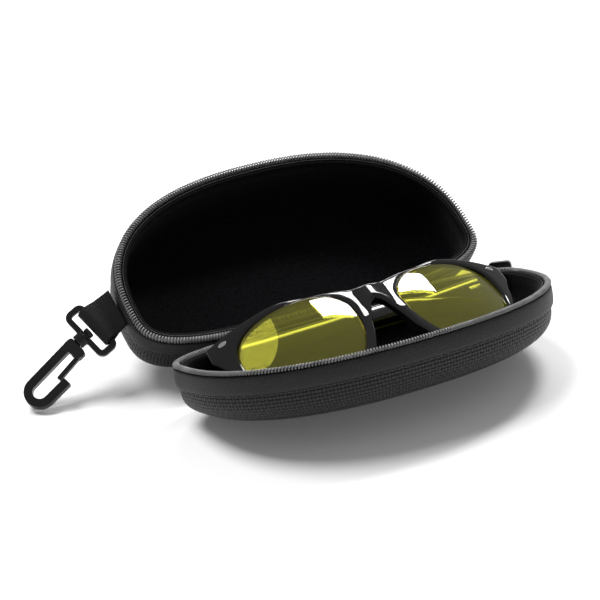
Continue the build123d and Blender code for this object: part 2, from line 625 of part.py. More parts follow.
    with BuildPart() as temple_rivet:
        with BuildSketch(ARM.offset(TEMPLE_GAP + TEMPLE_THICK - RIVET_DEPTH)):
            with Locations((RIVET_BACK, 0)):
                Ellipse(RIVET_RADIUS, RIVET_RADIUS * RIVET_OVAL)
        extrude(amount=RIVET_DEPTH + RIVET_PROUD)
    write(temple_rivet, "temple_rivet_" + hand)

    around = side * RIVET_PLACE[0] / WRAP_RADIUS
    radial = FRONT.x_dir * math.sin(around) + FRONT.z_dir * math.cos(around)
    across = FRONT.x_dir * math.cos(around) - FRONT.z_dir * math.sin(around)
    seat = FRONT.origin - FRONT.z_dir * WRAP_RADIUS + radial * WRAP_RADIUS + FRONT.y_dir * RIVET_PLACE[1]
    with BuildPart() as front_rivet:
        with BuildSketch(Plane(origin=seat - radial * RIVET_DEPTH, x_dir=across, z_dir=radial)):
            Ellipse(RIVET_RADIUS, RIVET_RADIUS * RIVET_OVAL)
        extrude(amount=RIVET_DEPTH + RIVET_PROUD)
    write(front_rivet, "front_rivet_" + hand)
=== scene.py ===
import json
import math

import bmesh
import bpy
import numpy as np
from mathutils import Matrix, Vector


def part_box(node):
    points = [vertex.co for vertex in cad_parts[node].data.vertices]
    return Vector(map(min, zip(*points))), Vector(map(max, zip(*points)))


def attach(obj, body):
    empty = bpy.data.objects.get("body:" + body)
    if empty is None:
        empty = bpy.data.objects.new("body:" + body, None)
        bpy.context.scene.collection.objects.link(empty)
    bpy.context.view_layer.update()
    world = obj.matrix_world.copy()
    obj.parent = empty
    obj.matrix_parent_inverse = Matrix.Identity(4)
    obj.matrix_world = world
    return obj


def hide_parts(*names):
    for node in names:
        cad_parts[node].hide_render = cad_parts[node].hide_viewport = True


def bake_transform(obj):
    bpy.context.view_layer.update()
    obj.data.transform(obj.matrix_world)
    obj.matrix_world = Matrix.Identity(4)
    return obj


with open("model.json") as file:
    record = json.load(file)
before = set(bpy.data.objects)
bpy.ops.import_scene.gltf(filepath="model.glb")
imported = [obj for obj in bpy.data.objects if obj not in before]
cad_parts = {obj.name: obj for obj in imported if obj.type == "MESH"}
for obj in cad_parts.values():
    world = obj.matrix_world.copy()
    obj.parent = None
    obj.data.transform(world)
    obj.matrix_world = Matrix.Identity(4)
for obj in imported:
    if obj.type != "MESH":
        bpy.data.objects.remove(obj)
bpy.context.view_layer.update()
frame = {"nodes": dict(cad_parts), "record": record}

# ---- Camera, table and light -------------------------------------------------------------
# The set stands on a plain white table in soft daylight from above. One softbox high on
# the right and another behind give the polished frame and the lenses something to mirror.
joints = {joint["name"]: joint for joint in frame["record"]["behaviour"]["joints"]}
hinge = Vector(joints["lid_hinge"]["pos_m"])
CAMERA_TURN, CAMERA_RISE = math.radians(-32), math.radians(27)
CAMERA_AWAY = 1.1
look_back = Vector((
    math.sin(CAMERA_TURN) * math.cos(CAMERA_RISE),
    -math.cos(CAMERA_TURN) * math.cos(CAMERA_RISE),
    math.sin(CAMERA_RISE),
))
camera_data = bpy.data.cameras.new("camera")
camera = bpy.data.objects.new("camera", camera_data)
bpy.context.collection.objects.link(camera)
camera.location = hinge + look_back * CAMERA_AWAY
camera.rotation_mode = "QUATERNION"
camera.rotation_quaternion = (-look_back).to_track_quat("-Z", "Y")
camera_data.sensor_width = 36
camera_data.lens = 162
camera_data.shift_x = -0.051
camera_data.shift_y = 0.015
bpy.context.scene.camera = camera


def simple_material(name, colour, roughness, shine=0.5):
    """A plain finish; shine is how strongly it reflects."""
    material = bpy.data.materials.new(name)
    material.use_nodes = True
    shader = material.node_tree.nodes["Principled BSDF"]
    shader.inputs["Base Color"].default_value = (*colour, 1)
    shader.inputs["Roughness"].default_value = roughness
    shader.inputs["Specular IOR Level"].default_value = shine
    return material


TABLE_HALF, TABLE_DROP = 4.0, 0.0003
table_mesh = bpy.data.meshes.new("table")
table_mesh.from_pydata(
    [(x * TABLE_HALF, y * TABLE_HALF, 0) for x, y in ((-1, -1), (1, -1), (1, 1), (-1, 1))],
    [], [(0, 1, 2, 3)],
)
table = bpy.data.objects.new("table", table_mesh)
table.location.z = -TABLE_DROP
bpy.context.collection.objects.link(table)
paper = simple_material("white_paper", (0.9, 0.9, 0.9), 0.7)
paper_shader = paper.node_tree.nodes["Principled BSDF"]
paper_shader.inputs["Emission Color"].default_value = (1, 1, 1, 1)
paper_shader.inputs["Emission Strength"].default_value = 0.05
table_mesh.materials.append(paper)

tent = bpy.data.worlds.new("tent")
bpy.context.scene.world = tent
tent.use_nodes = True
tent.node_tree.nodes["Background"].inputs["Color"].default_value = (1, 1, 1, 1)
tent.node_tree.nodes["Background"].inputs["Strength"].default_value = 0.32
bpy.context.scene.view_settings.view_transform = "Standard"


def panel(name, place, aim, wide, high, power):
    """A soft panel facing aim, its long side level with the glasses' front."""
    light = bpy.data.lights.new(name, "AREA")
    light.shape = "RECTANGLE"
    light.size = wide
    light.size_y = high
    light.energy = power
    holder = bpy.data.objects.new(name, light)
    bpy.context.collection.objects.link(holder)
    holder.location = place
    away = (Vector(place) - Vector(aim)).normalized()
    along = Vector((0, 1, 0)).cross(away).normalized()
    holder.rotation_mode = "QUATERNION"
    facing = Matrix((along, away.cross(along), away)).transposed()
    holder.rotation_quaternion = facing.to_quaternion()


LENSES_AT = (0, -0.012, 0.041)
panel("key_softbox", (0.449, 0.277, 0.775), LENSES_AT, wide=0.33, high=0.13, power=4.6)
panel("back_softbox", (0.4, 0.62, 0.52), LENSES_AT, wide=0.5, high=0.12, power=2.2)

# The daylight is left out of reflections, as a bright disc would show in the lenses.
DAYLIGHT_HEADING, DAYLIGHT_POWER, DAYLIGHT_SPREAD = (0.28, -0.4, -0.87), 3.0, math.radians(30)
daylight = bpy.data.lights.new("bounced_daylight", "SUN")
daylight.energy = DAYLIGHT_POWER
daylight.angle = DAYLIGHT_SPREAD
sun = bpy.data.objects.new("bounced_daylight", daylight)
bpy.context.collection.objects.link(sun)
sun.visible_glossy = False
sun.rotation_mode = "QUATERNION"
sun.rotation_quaternion = Vector(DAYLIGHT_HEADING).to_track_quat("-Z", "Y")

# ---- Moulded shells ----------------------------------------------------------------------
# Foam board pressed to shape with a ballistic weave bonded on: the tray and the lid. Each
# is one bowl with a nearly straight hinge side, and a small flat where it stands.
# Sizes are in millimetres, and MM brings them to metres.
MM = 0.001
HALF_LENGTH, RIM_FRONT, RIM_BACK = 82.0, 53.0, 24.0
FRONT_ROUNDNESS, BACK_ROUNDNESS = 2.35, 3.6
TRAY_TILT = math.radians(16.5)
LID_TURN = TRAY_TILT + math.radians(joints["lid_hinge"]["range_deg"][1])
DEPTHS = {"tray": 26.0, "lid": 31.8}
BAND_HEIGHT, BAND_THICK, WALL, LINING = 10.0, 1.2, 2.8, 0.8
RIM_TOP = 2.0
DOME_EXPONENT, DOME_CROWN = 3.1, 0.35
AROUND, WALL_ROWS, DOME_ROWS = 300, 7, 26
OUTER_LOWEST, INNER_LOWEST = 0.1, 0.8
WEAVE_CELL, FLAT_FROM, SEAM_JUMP = 1.5, 0.9, 50.0
HEM_DEPTH = 6.5


def group_with(name, inputs, outputs):
    """A node group with named sockets, given as (label, kind)."""
    group = bpy.data.node_groups.new(name, "ShaderNodeTree")
    for label, kind in inputs:
        group.interface.new_socket(name=label, in_out="INPUT", socket_type=kind)
    for label, kind in outputs:
        group.interface.new_socket(name=label, in_out="OUTPUT", socket_type=kind)
    return group, group.nodes.new("NodeGroupInput"), group.nodes.new("NodeGroupOutput")


def sums(tree, kind, first, second=None):
    """One Math node; each term is a number or another node's output."""
    node = tree.nodes.new("ShaderNodeMath")
    node.operation = kind
    for socket, value in zip(node.inputs, (first, second)):
        if value is None:
            continue
        if isinstance(value, (int, float)):
            socket.default_value = value
        else:
            tree.links.new(value, socket)
    return node.outputs[0]


THREAD_ROUND, WARP_LEAST, WEFT_LEAST = 0.45, 0.55, 0.45
FIBRE_SCALE, FIBRE_RISE, PAINTED_SHADE_CURVE = 6, 0.25, 0.7


def make_weave():
    """A basket weave: threads cross over and under in turn, one cell of UV per crossing, with
    painted shade in the gaps.
    """
    group, given, out = group_with(
        "basket_weave", [("Vector", "NodeSocketVector")],
        [("Height", "NodeSocketFloat"), ("Painted Gap Shade", "NodeSocketFloat")],
    )
    split = group.nodes.new("ShaderNodeSeparateXYZ")
    group.links.new(given.outputs["Vector"], split.inputs[0])
    across, along = split.outputs[0], split.outputs[1]

    def swell(run):
        """How far a thread stands up along its run between crossings."""
        return sums(group, "ABSOLUTE", sums(group, "SINE", sums(group, "MULTIPLY", run, math.pi)))

    def thread(main, other, least):
        """A thread that swells along one way and is rounded a little the other way."""
        rounded = sums(group, "ADD", sums(group, "MULTIPLY", other, THREAD_ROUND), least)
        return sums(group, "MULTIPLY", main, rounded)

    warp = thread(swell(across), swell(along), WARP_LEAST)
    weft = thread(swell(along), swell(across), WEFT_LEAST)
    cell = sums(group, "ADD", sums(group, "FLOOR", across), sums(group, "FLOOR", along))
    checker = sums(group, "FLOORED_MODULO", cell, 2)
    mix = group.nodes.new("ShaderNodeMix")
    group.links.new(checker, mix.inputs["Factor"])
    group.links.new(weft, mix.inputs["A"])
    group.links.new(warp, mix.inputs["B"])
    fine = group.nodes.new("ShaderNodeTexNoise")
    fine.inputs["Scale"].default_value = FIBRE_SCALE
    group.links.new(given.outputs["Vector"], fine.inputs["Vector"])
    fibres = sums(group, "MULTIPLY", fine.outputs["Fac"], FIBRE_RISE)
    height = sums(group, "ADD", mix.outputs["Result"], fibres)
    # Painted shade: the colour follows the thread height, so it darkens where threads dip into the
    # gaps between them.
    shade = sums(group, "POWER", mix.outputs["Result"], PAINTED_SHADE_CURVE)
    group.links.new(height, out.inputs["Height"])
    group.links.new(shade, out.inputs["Painted Gap Shade"])
    return group


weave = make_weave()


def placed(material, group, coordinates, scale=None):
    """The group inside a material, fed with UV or object coordinates."""
    tree = material.node_tree
    node = tree.nodes.new("ShaderNodeGroup")
    node.node_tree = group
    where = tree.nodes.new("ShaderNodeTexCoord")
    tree.links.new(where.outputs[coordinates], node.inputs["Vector"])
    if scale is not None:
        node.inputs["Scale"].default_value = scale
    return node


def shade_between(material, factor, dark, light):
    """Colours the material from dark to light by a factor that varies over it."""
    tree = material.node_tree
    ramp = tree.nodes.new("ShaderNodeValToRGB")
    ramp.color_ramp.elements[0].color = (*dark, 1)
    ramp.color_ramp.elements[1].color = (*light, 1)
    ramp.color_ramp.elements[0].position = 0.3
    ramp.color_ramp.elements[1].position = 0.8
    tree.links.new(factor, ramp.inputs["Fac"])
    tree.links.new(ramp.outputs["Color"], tree.nodes["Principled BSDF"].inputs["Base Color"])


def raise_by(material, height, distance, strength=1.0):
    """Embosses the material by a height, to a depth in metres."""
    tree = material.node_tree
    bump = tree.nodes.new("ShaderNodeBump")
    bump.inputs["Distance"].default_value = distance
    bump.inputs["Strength"].default_value = strength
    tree.links.new(height, bump.inputs["Height"])
    tree.links.new(bump.outputs["Normal"], tree.nodes["Principled BSDF"].inputs["Normal"])


def rim(turn, inset, scale=1.0):
    """X and distance from the hinge line of a rim point, in millimetres."""
    front = math.sin(turn) > 0
    power = 2 / (FRONT_ROUNDNESS if front else BACK_ROUNDNESS)
    width = (RIM_FRONT if front else RIM_BACK) - inset
    x = (HALF_LENGTH - inset) * math.copysign(abs(math.cos(turn)) ** power, math.cos(turn))
    y = width * math.copysign(abs(math.sin(turn)) ** power, math.sin(turn))
    return x * scale, RIM_BACK + y * scale


def even_turns(count, start=0.0, finish=2 * math.pi):
    """Turns whose rim points stand evenly along the rim."""
    fine = np.linspace(start, finish, 20000)
    points = np.array([rim(t, 0) for t in fine])
    run = np.concatenate([[0], np.cumsum(np.linalg.norm(np.diff(points, axis=0), axis=1))])
    return np.interp(np.linspace(0, run[-1], count, endpoint=False), run, fine), run[-1]


def case_point(half, x, v, depth):
    """A place in the case: v out from the hinge line along the rim, depth below the rim."""
    if half == "tray":
        y = -(v * math.cos(TRAY_TILT) + depth * math.sin(TRAY_TILT))
        z = v * math.sin(TRAY_TILT) - depth * math.cos(TRAY_TILT)
    else:
        y = -(v * math.cos(LID_TURN) - depth * math.sin(LID_TURN))
        z = v * math.sin(LID_TURN) + depth * math.cos(LID_TURN)
    return hinge + Vector((x, y, z)) * MM


rim_turns, rim_length = even_turns(AROUND)
dome_steps = [math.sin(math.radians(a)) for a in np.linspace(90, 0, DOME_ROWS)]


def bowl_levels(depth, inset, top):
    """(depth, scale) from the top edge down the wall and over the dome to the crown."""
    levels = [(d, 1.0) for d in np.linspace(top, BAND_HEIGHT, WALL_ROWS)]
    fall = depth - inset + BAND_THICK - BAND_HEIGHT
    for step in dome_steps[1:]:
        drop = BAND_HEIGHT + fall * (1 - step**DOME_EXPONENT) ** (1 / DOME_EXPONENT)
        levels.append((drop, DOME_CROWN + (1 - DOME_CROWN) * step))
    levels += [(levels[-1][0], DOME_CROWN * k) for k in (0.75, 0.5, 0.25)]
    return levels


def finish_mesh(name, mesh, material):
    """A smooth-shaded piece with its material."""
    piece = bpy.data.objects.new(name, mesh)
    bpy.context.collection.objects.link(piece)
    mesh.materials.append(material)
    for face in mesh.polygons:
        face.use_smooth = True
    return piece


def finish_build(name, made, material):
    """Closes a mesh that was built face by face and makes it a piece."""
    bmesh.ops.recalc_face_normals(made, faces=made.faces)
    mesh = bpy.data.meshes.new(name)
    made.to_mesh(mesh)
    made.free()
    return finish_mesh(name, mesh, material)


def bowl(name, half, outer, inner, top, material, hem=0.0):
    """A closed bowl: outer skin, inner skin and the top edge between them, with cloth UVs."""
    made = bmesh.new()
    layer = made.loops.layers.uv.new("cloth")
    skins = []
    for inset, lowest, turned_in in ((outer, OUTER_LOWEST, 0.0), (inner, INNER_LOWEST, hem)):
        path, before, skin = 0.0, None, []
        for level, scale in bowl_levels(DEPTHS[half], inset, top):
            if before:
                path += math.hypot(level - before[0], (before[1] - scale) * RIM_FRONT)
            before = (level, scale)
            drawn_in = turned_in if level < HEM_DEPTH else 0.0
            row = []
            for k, turn in enumerate(rim_turns):
                x, v = rim(turn, inset + drawn_in, scale)
                place = case_point(half, x, v, level)
                place.z = max(place.z, lowest * MM)
                uv = (x, v) if scale < FLAT_FROM else (k * rim_length / AROUND, path)
                row.append((made.verts.new(place), uv))
            skin.append(row)
        skins.append(skin)

    def face_of(corners):
        face = made.faces.new([vert for vert, _ in corners])
        for loop, (_, (u, w)) in zip(face.loops, corners):
            loop[layer].uv = (u / WEAVE_CELL, w / WEAVE_CELL)

    def past_seam(corner, beside):
        """A corner with its cloth carried on past the seam, where the row closes."""
        vert, (u, w) = corner
        return (vert, (u + rim_length, w)) if beside[1][0] > u + SEAM_JUMP else corner

    for skin, order in zip(skins, (1, -1)):
        for upper, lower in zip(skin, skin[1:]):
            for k in range(AROUND):
                n = (k + 1) % AROUND
                above, below = past_seam(upper[n], upper[k]), past_seam(lower[n], lower[k])
                face_of([upper[k], above, below, lower[k]][::order])
        face_of(skin[-1][::order])
    outer_top, inner_top = skins[0][0], skins[1][0]
    for k in range(AROUND):
        n = (k + 1) % AROUND
        verts = (inner_top[k][0], inner_top[n][0], outer_top[n][0], outer_top[k][0])
        face_of(list(zip(verts, ((k, 0), (k + 1, 0), (k + 1, 1), (k, 1)))))
    return finish_build(name, made, material)


# The weave's colour is painted shade: near black in the gaps between threads, lighter on their
# tops.
woven = simple_material("ballistic_weave", (0.03, 0.03, 0.031), 0.5, shine=0.3)
threads = placed(woven, weave, "UV")
shade_between(woven, threads.outputs["Painted Gap Shade"], (0.0015, 0.0015, 0.0015), (0.032, 0.0315, 0.032))
raise_by(woven, threads.outputs["Height"], 0.0007, 1.0)

for half in ("tray", "lid"):
    piece = bowl(half + "_woven_shell", half, BAND_THICK, BAND_THICK + WALL, RIM_TOP, woven)
    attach(piece, half)
    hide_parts(half + "_shell")

# ---- Velvet linings ----------------------------------------------------------------------
# A brushed velvet bowl glued inside each shell, with a turned hem just inside the zip. Its
# pile is a fine irregular grain that other finishes use at their own scales.
GLUE_GAP, HEM = 0.05, 0.35
MOTTLE_SHARE = 0.06


def make_grain():
    """Fine irregular grain, with a slower mottle for colour."""
    group, given, out = group_with(
        "fine_grain", [("Vector", "NodeSocketVector"), ("Scale", "NodeSocketFloat")],
        [("Height", "NodeSocketFloat"), ("Mottle", "NodeSocketFloat")],
    )
    for socket, factor, detail in (("Height", 1.0, 4), ("Mottle", MOTTLE_SHARE, 3)):
        noise = group.nodes.new("ShaderNodeTexNoise")
        noise.inputs["Detail"].default_value = detail
        group.links.new(given.outputs["Vector"], noise.inputs["Vector"])
        scale = sums(group, "MULTIPLY", given.outputs["Scale"], factor)
        group.links.new(scale, noise.inputs["Scale"])
        group.links.new(noise.outputs["Fac"], out.inputs[socket])
    return group


grain = make_grain()
velvet = simple_material("black_velvet", (0.004, 0.004, 0.005), 0.95)
pile = placed(velvet, grain, "Object", 900)
shade_between(velvet, pile.outputs["Height"], (0.0008, 0.0008, 0.001), (0.006, 0.006, 0.0078))
raise_by(velvet, pile.outputs["Height"], 0.0004, 0.8)
velvet_shader = velvet.node_tree.nodes["Principled BSDF"]
velvet_shader.inputs["Sheen Weight"].default_value = 0.04
velvet_shader.inputs["Specular IOR Level"].default_value = 0.05

for half in ("tray", "lid"):
    skin = BAND_THICK + WALL
    piece = bowl(
        half + "_velvet_lining", half, skin + GLUE_GAP, skin + LINING, RIM_TOP, velvet, hem=HEM
    )
    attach(piece, half)
    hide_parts(half + "_lining")

# ---- Smooth bands ------------------------------------------------------------------------
# A smooth coated tape sewn round each rim, slightly full between its edges, with a row of
# stitches in the groove below it.
BAND_SECTION = [
    (1.15, 2.5), (0.6, 2.4), (0.2, 2.6), (-0.02, 3.1), (-0.12, 4.5), (-0.14, 6.2),
    (-0.06, 8.0), (0.1, 9.2), (0.45, 9.85), (1.15, 10.0),
]
STITCH_RUN, STITCH_INSETS, STITCH_DEPTH, THREAD = 3.6, (1.05, 0.83, 0.83), 10.25, 0.22


def sweep_rim(name, half, section, material, turns, closed=True):
    """Carries a closed section of (inset, depth) points round the rim."""
    made = bmesh.new()
    loops = [
        [made.verts.new(case_point(half, *rim(turn, inset), depth)) for inset, depth in section]
        for turn in turns
    ]
    count = len(section)
    for k in range(len(turns) if closed else len(turns) - 1):
        n = (k + 1) % len(turns)
        for i in range(count):
            j = (i + 1) % count
            made.faces.new([loops[k][i], loops[n][i], loops[n][j], loops[k][j]])
    if not closed:
        made.faces.new(loops[0])
        made.faces.new(loops[-1][::-1])
    return finish_build(name, made, material)


coated = simple_material("coated_tape", (0.02, 0.02, 0.021), 0.55, shine=0.3)
coating = placed(coated, grain, "Object", 1400)
shade_between(coated, coating.outputs["Height"], (0.008, 0.008, 0.0085), (0.021, 0.0205, 0.021))
raise_by(coated, coating.outputs["Height"], 0.0003, 1.0)

thread_black = simple_material("sewing_thread", (0.016, 0.016, 0.017), 0.5)
twist = placed(thread_black, grain, "Object", 2500)
raise_by(thread_black, twist.outputs["Height"], 0.0001)

# A direction no thread runs along, to turn each tube's section from.
SIDEWAYS = (0.31, 0.22, 0.93)


def tube(name, points, radius, material, sides):
    """A mesh tube along points, for threads, wires and coils."""
    path = np.array(points, float)
    ahead = np.roll(path, -1, axis=0) - np.roll(path, 1, axis=0)
    ahead[0] = path[1] - path[0]
    ahead[-1] = path[-1] - path[-2]
    ahead /= np.linalg.norm(ahead, axis=1)[:, None]
    up = np.cross(ahead, SIDEWAYS)
    up /= np.linalg.norm(up, axis=1)[:, None]
    side = np.cross(ahead, up)
    angles = np.arange(sides) * 2 * math.pi / sides
    rings = path[:, None] + radius * (
        np.cos(angles)[None, :, None] * up[:, None] + np.sin(angles)[None, :, None] * side[:, None]
    )
    last = (len(path) - 1) * sides
    faces = []
    for start in range(0, last, sides):
        for i in range(sides):
            j = (i + 1) % sides
            faces.append((start + i, start + j, start + sides + j, start + sides + i))
    faces.append(tuple(range(sides))[::-1])
    faces.append(tuple(last + i for i in range(sides)))
    mesh = bpy.data.meshes.new(name)
    mesh.from_pydata(rings.reshape(-1, 3).tolist(), [], faces)
    return finish_mesh(name, mesh, material)


def join(name, pieces):
    """Makes one piece of several."""
    with bpy.context.temp_override(
        active_object=pieces[0], object=pieces[0],
        selected_objects=pieces, selected_editable_objects=pieces,
    ):
        bpy.ops.object.join()
    pieces[0].name = name
    return pieces[0]


for half in ("tray", "lid"):
    piece = sweep_rim(half + "_smooth_band", half, BAND_SECTION, coated, rim_turns)
    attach(piece, half)
    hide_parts(half + "_band")
    stitch_turns, _ = even_turns(int(rim_length / STITCH_RUN) * 4)
    stitches = []
    for k in range(0, len(stitch_turns), 4):
        run = [
            case_point(half, *rim(turn, inset), STITCH_DEPTH)
            for turn, inset in zip(stitch_turns[k:k + 3], STITCH_INSETS)
        ]
        stitches.append(tube("stitch", run, THREAD * MM, thread_black, sides=5))
    piece = join(half + "_rim_stitches", stitches)
    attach(piece, half)

# ---- Zip ---------------------------------------------------------------------------------
# A nylon coil zip: a flat coil wound on each edge, sewn to a woven tape that is glued
# under the band. It stops short of the hinge, where each end has a small metal clamp.
ZIP_END, COIL_END = 38.0, 41.2
COIL_TURNS, COIL_POINTS, COIL_WIRE = 253, 10, 0.36
COIL_INSET, COIL_WIDE, COIL_TOP, COIL_HIGH = 1.25, 2.1, 0.42, 1.3
SEWING_INSETS, SEWING_DEPTH, SEWING_WAVER, WAVER_STEP = (2.5, 3.45), 1.35, 0.05, 1.7
SEWING_POINTS, TAPE_POINTS = 500, 360
TAPE_SECTION = [
    (0.6, 2.2), (0.7, 2.0), (2.5, 1.95), (4.3, 1.7),
    (4.75, 1.9), (4.75, 2.3), (4.3, 2.1), (0.7, 2.35),
]


def open_turns(count, gap):
    """Even turns from one side of the hinge gap round the front to the other."""
    fine = np.linspace(-math.pi / 2, 3 * math.pi / 2, 8000)
    outside = [t for t in fine if not (math.sin(t) < 0 and abs(rim(t, 0)[0]) < gap)]
    return even_turns(count, outside[0], outside[-1])[0]


# Painted highlight: the black nylon coil is coloured mid grey to stand in for the light strokes
# along it; the mottle over it is random tone.
coil_nylon = simple_material("coil_nylon", (0.05, 0.05, 0.05), 0.28)
nylon = placed(coil_nylon, grain, "Object", 3000)
shade_between(coil_nylon, nylon.outputs["Mottle"], (0.12, 0.12, 0.12), (0.24, 0.24, 0.24))
raise_by(coil_nylon, nylon.outputs["Height"], 0.00004)

tape_cloth = simple_material("zip_tape_cloth", (0.014, 0.014, 0.015), 0.85, shine=0.1)
tape_grain = placed(tape_cloth, grain, "Object", 2200)
shade_between(tape_cloth, tape_grain.outputs["Height"], (0.003,) * 3, (0.012,) * 3)
raise_by(tape_cloth, tape_grain.outputs["Height"], 0.0002)

for half in ("tray", "lid"):
    winding = []
    for k, turn in enumerate(open_turns(COIL_TURNS * COIL_POINTS, COIL_END)):
        phase = 2 * math.pi * k / COIL_POINTS
        inset = COIL_INSET + COIL_WIDE / 2 * math.cos(phase)
        depth = COIL_TOP + COIL_HIGH / 2 * (1 - math.sin(phase))
        winding.append(case_point(half, *rim(turn, inset), depth))
    piece = tube(half + "_coil", winding, COIL_WIRE * MM, coil_nylon, sides=8)
    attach(piece, half)
    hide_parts(half + "_zip_coil")
    depth = SEWING_DEPTH
    for row, inset in enumerate(SEWING_INSETS):
        line = [
            case_point(half, *rim(turn, inset + SEWING_WAVER * math.sin(i * WAVER_STEP)), depth)
            for i, turn in enumerate(open_turns(SEWING_POINTS, COIL_END))
        ]
        name = half + "_coil_stitching_%d" % (row + 1)
        piece = tube(name, line, THREAD * MM, thread_black, sides=5)
        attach(piece, half)
    tape_turns = open_turns(TAPE_POINTS, ZIP_END)
    piece = sweep_rim(half + "_tape", half, TAPE_SECTION, tape_cloth, tape_turns, closed=False)
    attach(piece, half)
    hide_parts(half + "_zip_tape")


def with_modifiers_done(piece):
    """The same piece, with its modifiers worked into its mesh."""
    evaluated = piece.evaluated_get(bpy.context.evaluated_depsgraph_get())
    mesh = bpy.data.meshes.new_from_object(evaluated)
    piece.modifiers.clear()
    piece.data = mesh
    return piece


def moulded(node, voxel, rounds, material, name):
    """A copy of a CAD part with its edges eased all over, as moulding leaves them."""
    mesh = frame["nodes"][node].data.copy()
    mesh.materials.clear()
    piece = finish_mesh(name, mesh, material)
    remesh = piece.modifiers.new("even_mesh", "REMESH")
    remesh.mode = "VOXEL"
    remesh.voxel_size = voxel * MM
    remesh.use_smooth_shade = True
    ease = piece.modifiers.new("eased_edges", "SMOOTH")
    ease.factor = 0.5
    ease.iterations = rounds
    return with_modifiers_done(piece)


# Each end of the zip is pinched in a small dark metal clamp.
dark_metal = simple_material("blackened_metal", (0.045, 0.045, 0.047), 0.34)
dark_metal.node_tree.nodes["Principled BSDF"].inputs["Metallic"].default_value = 0.9
plating = placed(dark_metal, grain, "Object", 1800)
shade_between(dark_metal, plating.outputs["Mottle"], (0.03, 0.03, 0.031), (0.07, 0.07, 0.072))
raise_by(dark_metal, plating.outputs["Height"], 0.00005)
for half in ("tray", "lid"):
    piece = moulded(half + "_zip_stops", 0.12, 6, dark_metal, half + "_zip_clamps")
    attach(piece, half)
    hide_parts(half + "_zip_stops")

# The slider and its pull are cast and painted black; the pull hangs from the slider's pin.
piece = moulded("zip_slider", 0.16, 8, dark_metal, "zip_slider_cast")
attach(piece, "slider")
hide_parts("zip_slider")
piece = moulded("zip_pull", 0.14, 6, dark_metal, "zip_pull_cast")
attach(piece, "pull")
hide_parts("zip_pull")

# ---- Hinge strip -------------------------------------------------------------------------
# A strip of the smooth coated cloth sewn to the outside of both bands: the case's hinge.
# It runs from the tray's band round the hinge line to the lid's band as it lies now, and is
# attached to neither half.
STRIP_HALF, STRIP_DROP, STRIP_OUT, STRIP_THICK = 35.0, 8.0, 0.7, 0.6
STRIP_ACROSS, STRIP_STEPS = 24, 9
up_tray = [case_point("tray", 0, -STRIP_OUT, d) for d in np.linspace(STRIP_DROP, 0, STRIP_STEPS)]
down_lid = [case_point("lid", 0, -STRIP_OUT, d) for d in np.linspace(0, STRIP_DROP, STRIP_STEPS)]
first, last = up_tray[-1], down_lid[0]
round_hinge = []
for share in np.linspace(0, 1, STRIP_STEPS)[1:-1]:
    out = (first - hinge).slerp(last - hinge, share).normalized()
    round_hinge.append(hinge + out * STRIP_OUT * MM)
made = bmesh.new()
grid = [
    [
        made.verts.new((x * MM, point.y, point.z))
        for x in np.linspace(-STRIP_HALF, STRIP_HALF, STRIP_ACROSS + 1)
    ]
    for point in up_tray + round_hinge + down_lid
]
for low_row, high_row in zip(grid, grid[1:]):
    for k in range(STRIP_ACROSS):
        made.faces.new((low_row[k], low_row[k + 1], high_row[k + 1], high_row[k]))
piece = finish_build("hinge_cloth", made, coated)
thick = piece.modifiers.new("thickness", "SOLIDIFY")
thick.thickness = STRIP_THICK * MM
thick.offset = 0
with_modifiers_done(piece)
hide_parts("hinge_strip")
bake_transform(piece)

# ---- Strap -------------------------------------------------------------------------------
# Black webbing sewn into the lid's left end: one length, folded round the ring's rod and
# stitched to itself beside the fold.
STRAP_WIDTH, STRAP_THICK = 17.0, 1.1
LAYER_OUT, FOLD_RADIUS = 0.56, 2.6
SIDE_STEPS, FOLD_STEPS, WEBBING_CELL = 30, 18, 0.75
along_hook = Vector(joints["hook_swivel"]["axis"]).normalized()
along_ring = Vector(joints["ring_swing"]["axis"]).normalized()
fold = Vector(joints["ring_swing"]["pos_m"])
strap_root = case_point("lid", -82.3, 30.0, 6.2)
lid_run = (case_point("lid", 0, 1, 0) - case_point("lid", 0, 0, 0)).normalized()
strap_normal = along_ring.cross(along_hook).normalized()
lead = (fold - strap_root).normalized()
# The webbing's colour is painted shade as well: dark in the gaps between its threads, lighter on
# their tops.
webbing = simple_material("black_webbing", (0.014, 0.014, 0.015), 0.7, shine=0.2)
ribs = placed(webbing, weave, "UV")
shade_between(webbing, ribs.outputs["Painted Gap Shade"], (0.002, 0.002, 0.002), (0.018, 0.018, 0.018))
raise_by(webbing, ribs.outputs["Height"], 0.0003, 0.8)


def eased_step(t):
    """Goes smoothly from 0 to 1 as t does."""
    t = min(max(t, 0.0), 1.0)
    return t * t * (3 - 2 * t)


def strap_side(sign):
    """Middle of one layer from the root to where it meets the fold."""
    side = []
    for share in np.linspace(0, 1, SIDE_STEPS):
        middle = strap_root.lerp(fold, share)
        spread = LAYER_OUT + (FOLD_RADIUS - LAYER_OUT) * eased_step((share - 0.5) / 0.5)
        across = lid_run.lerp(-along_ring, eased_step(share)).normalized()
        normal = across.cross(lead).normalized()
        if normal.dot(strap_normal) < 0:
            normal = -normal
        side.append((middle + normal * sign * spread * MM, across, normal))
    return side


strap_path = strap_side(1)
for turn in np.linspace(0, math.pi, FOLD_STEPS)[1:-1]:
    out = strap_normal * math.cos(turn) + along_hook * math.sin(turn)
    strap_path.append((fold + out * FOLD_RADIUS * MM, -along_ring, out))
strap_path += [(middle, across, -normal) for middle, across, normal in strap_side(-1)[::-1]]

